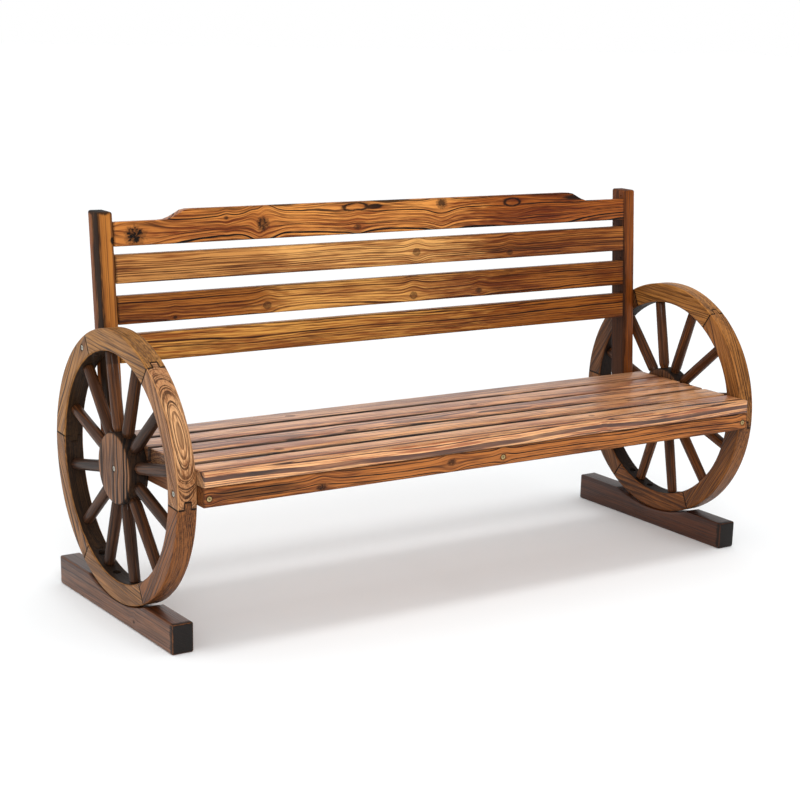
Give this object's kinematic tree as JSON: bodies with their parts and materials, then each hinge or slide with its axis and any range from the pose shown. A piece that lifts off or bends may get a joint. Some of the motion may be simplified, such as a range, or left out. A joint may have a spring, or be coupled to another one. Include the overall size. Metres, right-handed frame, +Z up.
{
  "type": "wagon wheel bench",
  "caption": "Charred fir garden bench whose slatted seat and leaning slatted back hang between spoked wagon wheels standing on low runner feet.",
  "frame": {"origin": "middle of the bench's footprint box, at floor level", "axes": "+X along the seat from the left wheel to the right one as seen from the front, +Y from the seat's front to its back, +Z up"},
  "size_m": [1.42, 0.556, 0.77],
  "materials": {
    "left_foot": "charred and brushed fir under a satin varnish",
    "right_foot": "charred and brushed fir under a satin varnish",
    "left_rim": "charred and brushed fir under a satin varnish",
    "right_rim": "charred and brushed fir under a satin varnish",
    "left_hub": "charred and brushed fir under a satin varnish",
    "right_hub": "charred and brushed fir under a satin varnish",
    "left_spokes": "charred and brushed fir under a satin varnish",
    "right_spokes": "charred and brushed fir under a satin varnish",
    "seat_slat_1": "charred and brushed fir under a satin varnish",
    "seat_slat_2": "charred and brushed fir under a satin varnish",
    "seat_slat_3": "charred and brushed fir under a satin varnish",
    "seat_slat_4": "charred and brushed fir under a satin varnish",
    "seat_slat_5": "charred and brushed fir under a satin varnish",
    "front_apron": "charred and brushed fir under a satin varnish",
    "seat_rails": "charred and brushed fir under a satin varnish",
    "left_post": "charred and brushed fir under a satin varnish",
    "right_post": "charred and brushed fir under a satin varnish",
    "back_slat_1": "charred and brushed fir under a satin varnish",
    "back_slat_2": "charred and brushed fir under a satin varnish",
    "back_slat_3": "charred and brushed fir under a satin varnish",
    "top_rail": "charred and brushed fir under a satin varnish",
    "wheel_screws": "satin zinc plate",
    "foot_bolts": "satin zinc plate",
    "frame_screws": "satin brass plate",
    "slat_screws": "satin zinc plate"
  },
  "bodies": {
    "root": {"left_foot": "left_foot", "right_foot": "right_foot", "left_felloe_1": "left_rim", "left_felloe_2": "left_rim", "left_felloe_3": "left_rim", "left_felloe_4": "left_rim", "left_felloe_5": "left_rim", "left_felloe_6": "left_rim", "right_felloe_1": "right_rim", "right_felloe_2": "right_rim", "right_felloe_3": "right_rim", "right_felloe_4": "right_rim", "right_felloe_5": "right_rim", "right_felloe_6": "right_rim", "left_hub": "left_hub", "right_hub": "right_hub", "left_spoke_1": "left_spokes", "left_spoke_2": "left_spokes", "left_spoke_3": "left_spokes", "left_spoke_4": "left_spokes", "left_spoke_5": "left_spokes", "left_spoke_6": "left_spokes", "left_spoke_7": "left_spokes", "left_spoke_8": "left_spokes", "left_spoke_9": "left_spokes", "left_spoke_10": "left_spokes", "left_spoke_11": "left_spokes", "left_spoke_12": "left_spokes", "right_spoke_1": "right_spokes", "right_spoke_2": "right_spokes", "right_spoke_3": "right_spokes", "right_spoke_4": "right_spokes", "right_spoke_5": "right_spokes", "right_spoke_6": "right_spokes", "right_spoke_7": "right_spokes", "right_spoke_8": "right_spokes", "right_spoke_9": "right_spokes", "right_spoke_10": "right_spokes", "right_spoke_11": "right_spokes", "right_spoke_12": "right_spokes", "seat_slat_1": "seat_slat_1", "seat_slat_2": "seat_slat_2", "seat_slat_3": "seat_slat_3", "seat_slat_4": "seat_slat_4", "seat_slat_5": "seat_slat_5", "front_apron": "front_apron", "rear_rail": "seat_rails", "left_side_rail": "seat_rails", "right_side_rail": "seat_rails", "centre_rail": "seat_rails", "left_post": "left_post", "right_post": "right_post", "back_slat_1": "back_slat_1", "back_slat_2": "back_slat_2", "back_slat_3": "back_slat_3", "top_rail": "top_rail", "wheel_screws": "wheel_screws", "foot_bolts": "foot_bolts", "frame_screws": "frame_screws", "slat_screws": "slat_screws"}
  },
  "joints": []
}
